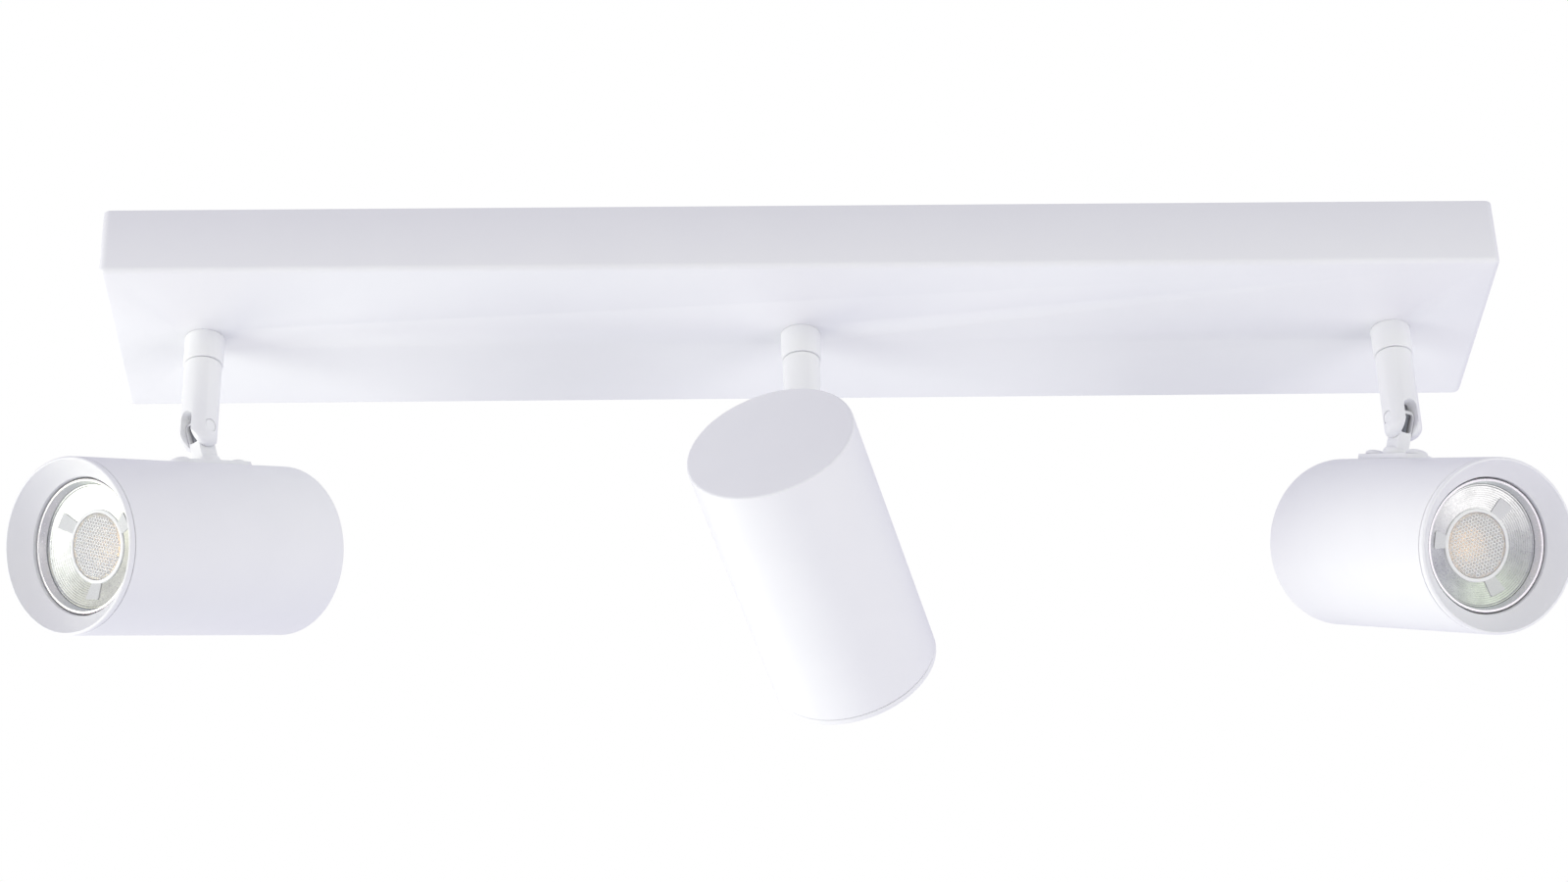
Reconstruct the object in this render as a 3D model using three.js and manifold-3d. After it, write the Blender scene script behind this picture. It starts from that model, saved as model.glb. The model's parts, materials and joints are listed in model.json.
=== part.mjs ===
// A white bar ceiling light with three cylinder spot heads that swivel and tilt.
// Millimetres, +Z up, X along the bar. The origin is the centre of the ceiling face,
// so everything hangs below z = 0.
import * as THREE from "three";
import { mergeVertices } from "three/addons/utils/BufferGeometryUtils.js";
import Module from "manifold-3d";

const wasm = await Module();
wasm.setup();

// ---- driving dimensions -------------------------------------------------------------------
const gap = 0.3; // clearance between pieces that touch

const bar = { length: 535, width: 93, height: 29, wall: 1.2, fold: 2.2, corner: 3 };
const bracket = {
  length: 300,
  width: 60,
  thickness: 1.5,
  corner: 6,
  armX: 130,
  armWidth: 24,
  tabDrop: 14,
  slots: { length: 20, width: 5, x: [-95, -60, 75, 110] }, // for the ceiling screws
};
const coverScrewDrop = 8; // below the ceiling
const cableHole = { x: 34, radius: 8 };
const block = {
  x: -70,
  y: 12,
  sizeX: 34,
  sizeY: 20,
  sizeZ: 16,
  pitch: 10,
  entry: { radius: 2.1, drop: 10 }, // a wire entry's hole, and how far it is below the block's top
  well: { radius: 2.2, depth: 2.5 },
};
const stem = {
  spacing: 232, // from one stem to the next
  collarRadius: 7.7,
  collarHeight: 12,
  radius: 7.2,
  bore: 2.7,
  pivotDrop: 42.3, // from the bar's underside to the tilt pivot; the end is round about it
};
const nipple = { radius: 5.9, bore: 4.8, top: 8.5 };
const neck = { radius: 3.7, lip: 4.5, top: -2.4 };
const shoulder = -4; // the step inside the collar that the neck's lip rests on
const nut = { acrossFlats: 17, thickness: 5 };
const slot = { width: 5.8, top: 5.8, corner: 2.4 }; // the fork's slot; top is above the pivot
const rivet = { radius: 1.5, head: 2.5, seat: 5.4, inner: 2.2, outer: 6.6 };
const tongue = { radius: 4.2, thickness: 5.2, window: 4.2, windowTop: 2.5, windowBottom: -4.9 };
const flange = { radius: 5.4, top: 4.7, height: 2.4 }; // the knuckle's foot on its saddle
const saddle = { length: 42, width: 15, thickness: 1.5, screwSpacing: 30, screwHead: 4 };
const can = {
  radius: 32.65,
  length: 113,
  wall: 1.5,
  edge: 2,
  rear: 29.5, // from the pivot's foot back to the rear cap
  drop: 48.2, // from the pivot to the can's axis
};
const trim = { face: 2.5, lip: 1.1, holeRadius: 25.9, recess: 8.7, sleeve: 12 };
const lamp = { radius: 25, neckRadius: 14.5, glassLength: 27, baseLength: 22, pinSpacing: 10 };
const pin = { radius: 2.2, neck: 1.4, length: 7.5, head: 2.4 };
const lens = { radius: 21.4, depth: 4.5, thickness: 2 };
const led = { radius: 9, height: 6, thickness: 1.6 }; // height is above the glass's back
const socket = { radius: 13.5, length: 17, wellDepth: 9.5 };
const angle = { thickness: 1.2, width: 14, reach: 20, top: 29.9, drop: 12 }; // about the can's axis
const screw = { headRadius: 3.5, shankRadius: 1.7, length: 7 };
const leadRadius = { bar: 1.5, head: 1.8 };

// How many flats stand for a full turn on a can, on a stem and on a small turned piece.
const facets = { can: 36, stem: 20, small: 14, screw: 10 };

// Each head as it is aimed: pan is the lens direction seen from above, anticlockwise from +X,
// and tilt is how far the lens points below the horizontal. Degrees.
const heads = [
  { name: "left", x: -stem.spacing, pan: 229, tilt: 23 },
  { name: "centre", x: 0, pan: 71, tilt: 21 },
  { name: "right", x: stem.spacing, pan: -67, tilt: 30 },
];

// ---- materials ----------------------------------------------------------------------------
const finishes = {
  whiteCoat: { color: 0xf1f2f6, roughness: 0.5, metalness: 0 },
  zincSteel: { color: 0xb9bdc2, roughness: 0.38, metalness: 1 },
  brightSteel: { color: 0xd2d4d8, roughness: 0.22, metalness: 1 },
  ceramic: { color: 0xe9e5da, roughness: 0.75, metalness: 0 },
  plasticWhite: { color: 0xe6e7ea, roughness: 0.5, metalness: 0 },
  rubber: { color: 0x2a2b2d, roughness: 0.85, metalness: 0 },
  leadSleeve: { color: 0x6f737b, roughness: 0.5, metalness: 0 },
  lampGlass: { color: 0xdfe8f2, roughness: 0.06, metalness: 0 },
  ledBoard: { color: 0xe8d58a, roughness: 0.5, metalness: 0 },
};

function mesh(name, geometry, finish) {
  geometry.computeVertexNormals();
  const part = new THREE.Mesh(geometry, new THREE.MeshStandardMaterial(finishes[finish]));
  part.name = name;
  return part;
}

// ---- solid helpers ------------------------------------------------------------------------
// Positions only, shared vertices merged and empty triangles dropped.
function weld(geometry) {
  const bare = geometry.clone();
  bare.deleteAttribute("normal");
  bare.deleteAttribute("uv");
  const welded = mergeVertices(bare, 1e-4);
  const corners = welded.index.array;
  const kept = [];
  for (let i = 0; i < corners.length; i += 3) {
    const [a, b, c] = [corners[i], corners[i + 1], corners[i + 2]];
    if (a !== b && b !== c && c !== a) kept.push(a, b, c);
  }
  welded.setIndex(kept);
  return welded;
}

function toSolid(geometry) {
  const welded = weld(geometry);
  return new wasm.Manifold(
    new wasm.Mesh({
      numProp: 3,
      vertProperties: new Float32Array(welded.attributes.position.array),
      triVerts: new Uint32Array(welded.index.array),
    })
  );
}

function toGeometry(solid) {
  const result = solid.getMesh();
  const geometry = new THREE.BufferGeometry();
  const positions = new Float32Array(result.vertProperties);
  geometry.setAttribute("position", new THREE.BufferAttribute(positions, 3));
  geometry.setIndex(Array.from(result.triVerts));
  return geometry;
}

function join(...geometries) {
  return toGeometry(geometries.map(toSolid).reduce((sum, next) => sum.add(next)));
}

function overlap(first, second) {
  return toGeometry(toSolid(first).intersect(toSolid(second)));
}

function cut(geometry, ...tools) {
  return toGeometry(tools.map(toSolid).reduce((rest, tool) => rest.subtract(tool), toSolid(geometry)));
}

// A turned piece about +Z. The outline is [radius, z] pairs, anticlockwise, and it either
// starts and ends on the axis or closes on itself.
function turned(outline, segments) {
  const points = outline.map(([radius, z]) => new THREE.Vector2(radius, z));
  const onAxis = outline[0][0] === 0 && outline.at(-1)[0] === 0;
  if (!onAxis) points.push(points[0].clone());
  const geometry = new THREE.LatheGeometry(points, segments);
  geometry.rotateX(Math.PI / 2);
  return weld(geometry);
}

function rod(radius, length, segments) {
  const geometry = new THREE.CylinderGeometry(radius, radius, length, segments);
  geometry.rotateX(Math.PI / 2);
  return geometry;
}

function box(sizeX, sizeY, sizeZ, x, y, z) {
  const geometry = new THREE.BoxGeometry(sizeX, sizeY, sizeZ);
  geometry.translate(x, y, z);
  return geometry;
}

// Turns a piece made about +Z so that it lies along +X or +Y.
const alongX = (geometry) => geometry.rotateY(Math.PI / 2);
const alongY = (geometry) => geometry.rotateX(-Math.PI / 2);

function roundedRectangle(sizeX, sizeY, radius) {
  const [x, y] = [sizeX / 2 - radius, sizeY / 2 - radius];
  const shape = new THREE.Shape();
  shape.absarc(x, y, radius, 0, Math.PI / 2);
  shape.absarc(-x, y, radius, Math.PI / 2, Math.PI);
  shape.absarc(-x, -y, radius, Math.PI, Math.PI * 1.5);
  shape.absarc(x, -y, radius, Math.PI * 1.5, Math.PI * 2);
  return shape;
}

// A slot's outline, with round ends.
const stadium = (length, width) => roundedRectangle(length, width, width / 2 - 0.01);

// A prism about +Z, from z = bottom up to z = top.
function prism(shape, bottom, top, curveSegments) {
  const options = { depth: top - bottom, bevelEnabled: false, curveSegments };
  const geometry = new THREE.ExtrudeGeometry(shape, options);
  geometry.translate(0, 0, bottom);
  return geometry;
}

// A round lead through a list of points.
function lead(points, radius, steps) {
  const path = new THREE.CatmullRomCurve3(points.map((point) => new THREE.Vector3(...point)));
  const section = new THREE.Shape();
  section.absarc(0, 0, radius, 0, Math.PI * 2);
  const options = { steps, extrudePath: path, bevelEnabled: false, curveSegments: 4 };
  return weld(new THREE.ExtrudeGeometry(section, options));
}

// A round-headed screw that points down, the underside of its head at z = 0.
function roundHeadScrew(headRadius, shankRadius, shankLength) {
  const crown = headRadius * 0.62;
  return turned(
    [
      [0, -shankLength],
      [shankRadius, -shankLength],
      [shankRadius, 0],
      [headRadius, 0],
      [headRadius, crown * 0.35],
      [headRadius * 0.72, crown * 0.84],
      [0, crown],
    ],
    facets.small
  );
}

// ---- the bar ------------------------------------------------------------------------------
const underside = -bar.height;
const floorTop = underside + bar.wall;

// A block with its lower edges rounded over, open upwards past the ceiling plane.
function foldedBlock(length, width, bottom, fold, corner) {
  const shape = roundedRectangle(length - 2 * fold, width - 2 * fold, corner - fold);
  const geometry = new THREE.ExtrudeGeometry(shape, {
    depth: bar.height + 10,
    bevelEnabled: true,
    bevelThickness: fold,
    bevelSize: fold,
    bevelSegments: 3,
    curveSegments: 2,
  });
  geometry.translate(0, 0, bottom + fold);
  return geometry;
}

function canopyCover() {
  const outer = foldedBlock(bar.length, bar.width, underside, bar.fold, bar.corner);
  const inset = 2 * bar.wall;
  const inner = foldedBlock(
    bar.length - inset,
    bar.width - inset,
    floorTop,
    bar.fold - bar.wall,
    bar.corner - bar.wall
  );
  const aboveRim = box(bar.length + 20, bar.width + 20, 60, 0, 0, 30 - gap);
  const holes = heads.map((head) => {
    const hole = rod(nipple.radius + gap, 10, facets.stem);
    hole.translate(head.x, 0, underside);
    return hole;
  });
  for (const side of [-1, 1]) {
    const hole = alongY(rod(screw.shankRadius + gap, 10, facets.screw));
    hole.translate(side * bracket.armX, bar.width / 2, -coverScrewDrop);
    holes.push(hole);
  }
  return cut(outer, inner, aboveRim, ...holes);
}

// A punched strip that screws to the ceiling, with four arms whose ends turn down
// inside the cover. The two rear tabs take the cover's screws.
const tabOuterY = bar.width / 2 - bar.wall - gap;

function ceilingBracket() {
  const strip = roundedRectangle(bracket.length, bracket.width, bracket.corner);
  const plate = prism(strip, -bracket.thickness, 0, 3);
  const pieces = [plate];
  for (const x of [-bracket.armX, bracket.armX]) {
    pieces.push(box(bracket.armWidth, 2 * tabOuterY, bracket.thickness, x, 0, -bracket.thickness / 2));
    for (const side of [-1, 1]) {
      const y = side * (tabOuterY - bracket.thickness / 2);
      pieces.push(box(bracket.armWidth, bracket.thickness, bracket.tabDrop, x, y, -bracket.tabDrop / 2));
    }
  }
  const tools = [];
  for (const x of bracket.slots.x) {
    const ceilingSlot = prism(stadium(bracket.slots.length, bracket.slots.width), -5, 5, 3);
    ceilingSlot.translate(x, 0, 0);
    tools.push(ceilingSlot);
  }
  const cable = rod(cableHole.radius, 10, facets.stem);
  cable.translate(cableHole.x, 0, 0);
  tools.push(cable);
  for (const side of [-1, 1]) {
    const hole = alongY(rod(screw.shankRadius + gap, 10, facets.screw));
    hole.translate(side * bracket.armX, tabOuterY, -coverScrewDrop);
    tools.push(hole);
  }
  return cut(join(...pieces), ...tools);
}

function cableGrommet() {
  const [outer, inner] = [cableHole.radius - gap, cableHole.radius - 2];
  const under = -bracket.thickness - gap;
  const ring = turned(
    [
      [inner, under - 2],
      [cableHole.radius + 2, under - 2],
      [cableHole.radius + 2, under],
      [outer, under],
      [outer, -gap],
      [inner, -gap],
    ],
    facets.stem
  );
  return ring.translate(cableHole.x, 0, 0);
}

const blockTop = -bracket.thickness - gap;
const blockEntryZ = blockTop - block.entry.drop;

// A three-way terminal block with a wire entry at each end of each way.
function terminalBlock() {
  const body = box(block.sizeX, block.sizeY, block.sizeZ, block.x, block.y, blockTop - block.sizeZ / 2);
  const tools = [];
  for (const way of [-1, 0, 1]) {
    const x = block.x + way * block.pitch;
    const entry = alongY(rod(block.entry.radius, block.sizeY + 2, facets.screw));
    entry.translate(x, block.y, blockEntryZ);
    const well = rod(block.well.radius, 2 * block.well.depth, facets.screw);
    well.translate(x, block.y, blockTop - block.sizeZ);
    tools.push(entry, well);
  }
  return cut(body, ...tools);
}

function coverScrew() {
  const geometry = roundHeadScrew(screw.headRadius, screw.shankRadius, screw.length);
  return geometry.rotateX(-Math.PI / 2);
}

// From the terminal block along the bar and down the middle of a stem.
function barLead(head) {
  const way = Math.sign(head.x);
  const x = block.x + way * block.pitch;
  const rear = block.y + block.sizeY / 2;
  const front = block.y - block.sizeY / 2;
  const starts = {
    left: [[x, front - 0.5, blockEntryZ], [x - 7, front - 10, -13], [-120, -7, -15], [-214, 0, -13]],
    centre: [[x, front - 0.5, blockEntryZ], [x + 7, front - 10, -13], [-35, -7, -15], [-14, 0, -13]],
    right: [[x, rear + 0.5, blockEntryZ], [x + 7, rear + 9, -13], [20, 22, -15], [120, 8, -15], [214, 0, -13]],
  };
  const lowest = underside - stem.pivotDrop + slot.top + 2;
  const drop = [[head.x, 0, -20], [head.x, 0, -32], [head.x, 0, lowest]];
  const steps = head.x === 0 ? 18 : 28;
  return lead([...starts[head.name], ...drop], leadRadius.bar, steps);
}

// ---- a stem. z = 0 is the bar's underside --------------------------------------------------

// The fixed collar and the threaded nipple that holds it through the bar's floor.
function stemCollar() {
  const [top, bottom, outer] = [-gap, -stem.collarHeight, stem.collarRadius];
  return turned(
    [
      [neck.radius + gap, bottom],
      [outer - 0.5, bottom],
      [outer, bottom + 0.5],
      [outer, top],
      [nipple.radius, top],
      [nipple.radius, nipple.top],
      [nipple.bore, nipple.top],
      [nipple.bore, shoulder],
      [neck.radius + gap, shoulder],
    ],
    facets.stem
  );
}

function stemNut() {
  const hex = rod(nut.acrossFlats / Math.sqrt(3), nut.thickness, 6);
  const ring = cut(hex, rod(nipple.radius + gap, nut.thickness + 2, facets.small));
  return ring.translate(0, 0, bar.wall + gap + nut.thickness / 2);
}

// The part that turns: a neck peened over inside the collar, and a forked lower end whose
// two ears are rounded about the pivot.
function swivelStem() {
  const top = -stem.collarHeight - gap;
  const bottom = -stem.pivotDrop - stem.radius - 1;
  const { radius, bore } = stem;
  const body = turned(
    [
      [bore, bottom],
      [radius, bottom],
      [radius, top - 0.4],
      [radius - 0.4, top],
      [neck.radius, top],
      [neck.radius, shoulder + 0.4],
      [neck.lip, shoulder + 0.4],
      [neck.lip, neck.top],
      [bore, neck.top],
    ],
    facets.stem
  );
  const abovePivot = box(30, 30, 60, 0, 0, -stem.pivotDrop + 30);
  const roundEnd = alongY(rod(stem.radius, 30, facets.stem)).translate(0, 0, -stem.pivotDrop);
  const slotHeight = slot.top + stem.radius + 4;
  const opening = prism(roundedRectangle(slotHeight, slot.width, slot.corner), -10, 10, 3);
  opening.rotateY(Math.PI / 2);
  opening.translate(0, 0, -stem.pivotDrop + slot.top - slotHeight / 2);
  const tools = [opening];
  for (const side of [-1, 1]) {
    const pinHole = alongY(rod(rivet.radius + gap, 12, facets.screw));
    const sink = alongY(rod(rivet.head + gap, 6, facets.small));
    tools.push(pinHole.translate(0, side * 8, -stem.pivotDrop));
    tools.push(sink.translate(0, side * (rivet.seat + 3), -stem.pivotDrop));
  }
  return cut(overlap(body, join(abovePivot, roundEnd)), ...tools);
}

// One of the two short pivots, through an ear and into a cheek of the tongue. They leave
// the middle of the joint clear for the lead.
function pivotRivet(side) {
  const geometry = turned(
    [
      [0, rivet.inner],
      [rivet.radius, rivet.inner],
      [rivet.radius, rivet.seat + gap],
      [rivet.head, rivet.seat + gap],
      [rivet.head, rivet.outer - 0.2],
      [rivet.head - 0.4, rivet.outer],
      [0, rivet.outer],
    ],
    facets.screw
  );
  alongY(geometry);
  if (side < 0) geometry.rotateZ(Math.PI);
  return geometry.translate(0, 0, -stem.pivotDrop);
}

// ---- a head. The origin is the tilt pivot, +X the way the lens points ----------------------
const saddleTop = -can.drop + can.radius + gap + saddle.thickness;
const mouth = can.length - can.rear; // x of the front rim
const lampFace = mouth - trim.recess;

// The tongue in the fork, its neck and flange, and the curved saddle that is screwed to the
// can. A window through the tongue lets the lead pass between the two pivots.
function tiltKnuckle() {
  const bladeLength = 28;
  const halfThickness = tongue.thickness / 2;
  const blade = prism(stadium(bladeLength, 2 * tongue.radius), -halfThickness, halfThickness, 6);
  blade.rotateZ(Math.PI / 2);
  blade.rotateX(Math.PI / 2);
  blade.translate(0, 0, tongue.radius - bladeLength / 2);
  const foot = saddleTop - 1;
  const belowFoot = box(30, 30, 20, 0, 0, foot - 10);
  const flare = turned(
    [
      [0, foot],
      [flange.radius, foot],
      [flange.radius, saddleTop + flange.height - 0.7],
      [flange.top, saddleTop + flange.height],
      [0, saddleTop + flange.height],
    ],
    facets.small
  );
  const strip = prism(stadium(saddle.length, saddle.width), saddleTop - 5, saddleTop, 6);
  const bend = onCan(can.radius + gap + saddle.thickness);
  const seat = onCan(can.radius + gap);
  const windowHeight = tongue.windowTop - tongue.windowBottom;
  const windowShape = roundedRectangle(windowHeight, tongue.window, 1.2);
  const windowCut = prism(windowShape, -10, 10, 2).rotateY(Math.PI / 2);
  windowCut.translate(0, 0, (tongue.windowTop + tongue.windowBottom) / 2);
  const wireway = rod(tongue.window / 2, 20, facets.screw);
  wireway.translate(0, 0, tongue.windowBottom + 1 - 10);
  const pivotHole = alongY(rod(rivet.radius + gap, 10, facets.screw));
  const blank = join(cut(blade, belowFoot), flare, overlap(strip, bend));
  return cut(blank, seat, windowCut, wireway, pivotHole, ...saddleScrewHoles(saddleTop));
}

// A rod along the can's axis, to shape what lies on the can.
function onCan(radius) {
  return alongX(rod(radius, saddle.length + 20, facets.can)).translate(0, 0, -can.drop);
}

// Tools for the two saddle screws' holes, 10 mm long about a height.
function saddleScrewHoles(z) {
  return [-1, 1].map((side) => {
    const hole = rod(screw.shankRadius + gap, 10, facets.screw);
    return hole.translate((side * saddle.screwSpacing) / 2, 0, z);
  });
}

function saddleScrew(side) {
  const geometry = roundHeadScrew(saddle.screwHead, screw.shankRadius, screw.length);
  return geometry.translate((side * saddle.screwSpacing) / 2, 0, saddleTop + gap);
}

// A quarter circle of outline points, centre and angles in the outline's own plane.
function arc(radius, z, size, from, to, steps) {
  return Array.from({ length: steps + 1 }, (_, i) => {
    const angle = THREE.MathUtils.degToRad(from + ((to - from) * i) / steps);
    return [radius + size * Math.cos(angle), z + size * Math.sin(angle)];
  });
}

// A drawn can with a closed, round-edged rear end.
function lampHousing() {
  const front = mouth - trim.face - gap;
  const inner = can.radius - can.wall;
  const shell = turned(
    [
      [0, -can.rear],
      ...arc(can.radius - can.edge, -can.rear + can.edge, can.edge, -90, 0, 3),
      [can.radius, front],
      [inner, front],
      ...arc(inner - 1, -can.rear + can.wall + 1, 1, 0, -90, 1),
      [0, -can.rear + can.wall],
    ],
    facets.can
  );
  alongX(shell).translate(0, 0, -can.drop);
  const wireHole = rod(2.8, 10, facets.screw);
  wireHole.translate(0, 0, -can.drop + can.radius);
  return cut(shell, wireHole, ...saddleScrewHoles(-can.drop + can.radius));
}

// The front ring: a lip flush with the can, a sloping baffle down to the lamp and a
// sleeve that pushes inside the can.
function frontTrim() {
  const [lipInner, sleeveOuter] = [can.radius - trim.lip, can.radius - can.wall - gap];
  const seam = mouth - trim.face;
  const baffleBack = mouth - trim.recess + 1;
  const ring = turned(
    [
      [trim.holeRadius, baffleBack - 1],
      [trim.holeRadius + 1, baffleBack - 1],
      [sleeveOuter - 1.2, seam - 1.6],
      [sleeveOuter - 1.2, mouth - trim.sleeve],
      [sleeveOuter, mouth - trim.sleeve],
      [sleeveOuter, seam],
      [can.radius, seam],
      [can.radius, mouth - 0.6],
      [can.radius - 0.6, mouth],
      [lipInner, mouth],
      [trim.holeRadius, baffleBack],
    ],
    facets.can
  );
  return alongX(ring).translate(0, 0, -can.drop);
}

const glassBack = lampFace - lamp.glassLength;
const baseBack = glassBack - lamp.baseLength;

// The reflector envelope, a thick bowl with a rolled front rim.
function lampEnvelope() {
  const wall = 1.3;
  const bulge = (t, offset) => {
    const radius = lamp.neckRadius + (lamp.radius - 0.6 - lamp.neckRadius) * Math.sqrt(t);
    return [radius - offset, glassBack + t * (lamp.glassLength - 3) + offset * 0.4];
  };
  const outerSteps = [0, 0.1, 0.35, 1].map((t) => bulge(t, 0));
  const innerSteps = [1, 0.35, 0.1, 0].map((t) => bulge(t, wall));
  const bowl = turned(
    [
      ...outerSteps,
      [lamp.radius, lampFace - 2.4],
      [lamp.radius, lampFace - 0.4],
      [lamp.radius - 0.4, lampFace],
      [lamp.radius - 2, lampFace],
      ...innerSteps,
    ],
    facets.stem + 4
  );
  return alongX(bowl).translate(0, 0, -can.drop);
}

function lampLens() {
  const front = lampFace - lens.depth;
  const plate = rod(lens.radius, lens.thickness, facets.stem + 4);
  return alongX(plate.translate(0, 0, front - lens.thickness / 2)).translate(0, 0, -can.drop);
}

function ledBoard() {
  const board = rod(led.radius, led.thickness, facets.small);
  const middle = glassBack + led.height + led.thickness / 2;
  return alongX(board.translate(0, 0, middle)).translate(0, 0, -can.drop);
}

// The plastic base behind the glass, with two headed pins that twist into the socket.
function lampBase() {
  const shell = turned(
    [
      [0, baseBack],
      [10.5, baseBack],
      [12, baseBack + 1],
      [12, baseBack + 9],
      [lamp.neckRadius, baseBack + 14],
      [lamp.neckRadius, glassBack - gap],
      [0, glassBack - gap],
    ],
    facets.stem
  );
  const pins = [-1, 1].map((side) => {
    const stud = turned(
      [
        [0, baseBack - pin.length],
        [pin.radius, baseBack - pin.length],
        [pin.radius, baseBack - pin.length + pin.head],
        [pin.neck, baseBack - pin.length + pin.head],
        [pin.neck, baseBack + 1],
        [0, baseBack + 1],
      ],
      facets.screw
    );
    return stud.translate((side * lamp.pinSpacing) / 2, 0, 0);
  });
  return alongX(join(shell, ...pins)).translate(0, 0, -can.drop);
}

const socketFront = baseBack - gap;
const socketBack = socketFront - socket.length;

// The ceramic lampholder, with two wells for the lamp's pins.
function lampSocket() {
  const body = rod(socket.radius, socket.length, facets.stem);
  body.translate(0, 0, socketBack + socket.length / 2);
  const wells = [-1, 1].map((side) => {
    const well = rod(pin.radius + 2 * gap, 2 * socket.wellDepth, facets.screw);
    return well.translate((side * lamp.pinSpacing) / 2, 0, socketFront);
  });
  return alongX(cut(body, ...wells)).translate(0, 0, -can.drop);
}

// An angle under the can's wall: the front saddle screw holds it, and it holds the socket.
function socketBracket() {
  const { thickness, width, reach } = angle;
  const back = socketBack - gap - thickness;
  const [top, bottom] = [angle.top - can.drop, -angle.drop - can.drop];
  const strip = box(reach, width, thickness, back + reach / 2, 0, top - thickness / 2);
  const leg = box(thickness, width, top - bottom, back + thickness / 2, 0, (top + bottom) / 2);
  const wireHole = alongX(rod(4, 6, facets.screw)).translate(back, 0, -can.drop);
  const screwHole = rod(screw.shankRadius + gap, 6, facets.screw);
  screwHole.translate(saddle.screwSpacing / 2, 0, top);
  return cut(join(strip, leg), wireHole, screwHole);
}

// From the neck's wireway through the can's wall to the back of the socket.
function headLead() {
  const axisZ = -can.drop;
  return lead(
    [
      [0, 0, tongue.windowTop - gap],
      [0, 0, saddleTop],
      [0, 0, saddleTop - 6],
      [-3, 0, axisZ + 22],
      [-8, 0, axisZ + 10],
      [-6, 0, axisZ + 2],
      [socketBack - 3, 0, axisZ],
      [socketBack - gap, 0, axisZ],
    ],
    leadRadius.head,
    14
  );
}

// ---- assembly -----------------------------------------------------------------------------
function barGroup() {
  const group = new THREE.Group();
  group.add(mesh("ceiling_bracket", ceilingBracket(), "zincSteel"));
  group.add(mesh("canopy_cover", canopyCover(), "whiteCoat"));
  group.add(mesh("cable_grommet", cableGrommet(), "rubber"));
  group.add(mesh("terminal_block", terminalBlock(), "plasticWhite"));
  for (const [name, side] of [["left", -1], ["right", 1]]) {
    const piece = mesh(`cover_screw_${name}`, coverScrew(), "brightSteel");
    piece.position.set(side * bracket.armX, bar.width / 2 + gap, -coverScrewDrop);
    group.add(piece);
  }
  for (const head of heads) group.add(mesh(`bar_lead_${head.name}`, barLead(head), "leadSleeve"));
  return group;
}

// Everything that tilts, about the pivot.
function tiltGroup(name) {
  const group = new THREE.Group();
  group.add(mesh(`tilt_knuckle_${name}`, tiltKnuckle(), "whiteCoat"));
  group.add(mesh(`saddle_screw_front_${name}`, saddleScrew(1), "whiteCoat"));
  group.add(mesh(`saddle_screw_rear_${name}`, saddleScrew(-1), "whiteCoat"));
  group.add(mesh(`lamp_housing_${name}`, lampHousing(), "whiteCoat"));
  group.add(mesh(`front_trim_${name}`, frontTrim(), "whiteCoat"));
  group.add(mesh(`lamp_socket_${name}`, lampSocket(), "ceramic"));
  group.add(mesh(`socket_bracket_${name}`, socketBracket(), "zincSteel"));
  group.add(mesh(`lamp_base_${name}`, lampBase(), "plasticWhite"));
  group.add(mesh(`lamp_envelope_${name}`, lampEnvelope(), "lampGlass"));
  group.add(mesh(`lamp_lens_${name}`, lampLens(), "lampGlass"));
  group.add(mesh(`led_board_${name}`, ledBoard(), "ledBoard"));
  group.add(mesh(`head_lead_${name}`, headLead(), "leadSleeve"));
  return group;
}

function headGroup(head) {
  const group = new THREE.Group();
  group.position.set(head.x, 0, underside);
  group.add(mesh(`stem_collar_${head.name}`, stemCollar(), "whiteCoat"));
  group.add(mesh(`stem_nut_${head.name}`, stemNut(), "brightSteel"));
  const panning = new THREE.Group();
  panning.rotation.z = THREE.MathUtils.degToRad(head.pan);
  panning.add(mesh(`swivel_stem_${head.name}`, swivelStem(), "whiteCoat"));
  panning.add(mesh(`pivot_rivet_a_${head.name}`, pivotRivet(1), "whiteCoat"));
  panning.add(mesh(`pivot_rivet_b_${head.name}`, pivotRivet(-1), "whiteCoat"));
  const tilting = tiltGroup(head.name);
  tilting.position.z = -stem.pivotDrop;
  tilting.rotation.y = THREE.MathUtils.degToRad(head.tilt);
  panning.add(tilting);
  group.add(panning);
  return group;
}

const fixture = new THREE.Group();
fixture.add(barGroup(), ...heads.map(headGroup));

export default fixture;
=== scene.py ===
import json
import math

import bmesh
import bpy
from mathutils import Matrix, Vector

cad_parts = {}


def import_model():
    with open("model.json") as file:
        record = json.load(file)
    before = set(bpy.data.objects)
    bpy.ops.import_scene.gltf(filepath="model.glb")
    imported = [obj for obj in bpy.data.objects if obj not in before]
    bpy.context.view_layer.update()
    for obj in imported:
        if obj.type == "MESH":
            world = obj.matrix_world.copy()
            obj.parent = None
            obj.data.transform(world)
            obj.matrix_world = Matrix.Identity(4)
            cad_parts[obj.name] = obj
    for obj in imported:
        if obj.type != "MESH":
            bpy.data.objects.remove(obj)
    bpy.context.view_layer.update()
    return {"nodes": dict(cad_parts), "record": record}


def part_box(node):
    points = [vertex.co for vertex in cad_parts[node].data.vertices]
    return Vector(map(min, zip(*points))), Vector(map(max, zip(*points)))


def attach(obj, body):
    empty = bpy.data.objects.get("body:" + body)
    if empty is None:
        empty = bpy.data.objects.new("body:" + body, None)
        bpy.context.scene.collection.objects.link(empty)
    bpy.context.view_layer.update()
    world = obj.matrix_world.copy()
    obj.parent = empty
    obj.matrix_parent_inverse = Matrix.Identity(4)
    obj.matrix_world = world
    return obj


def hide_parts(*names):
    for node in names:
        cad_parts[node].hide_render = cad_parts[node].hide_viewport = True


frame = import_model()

MM = 0.001
GAP = 0.3  # clearance between pieces that touch, in mm like every size below

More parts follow.
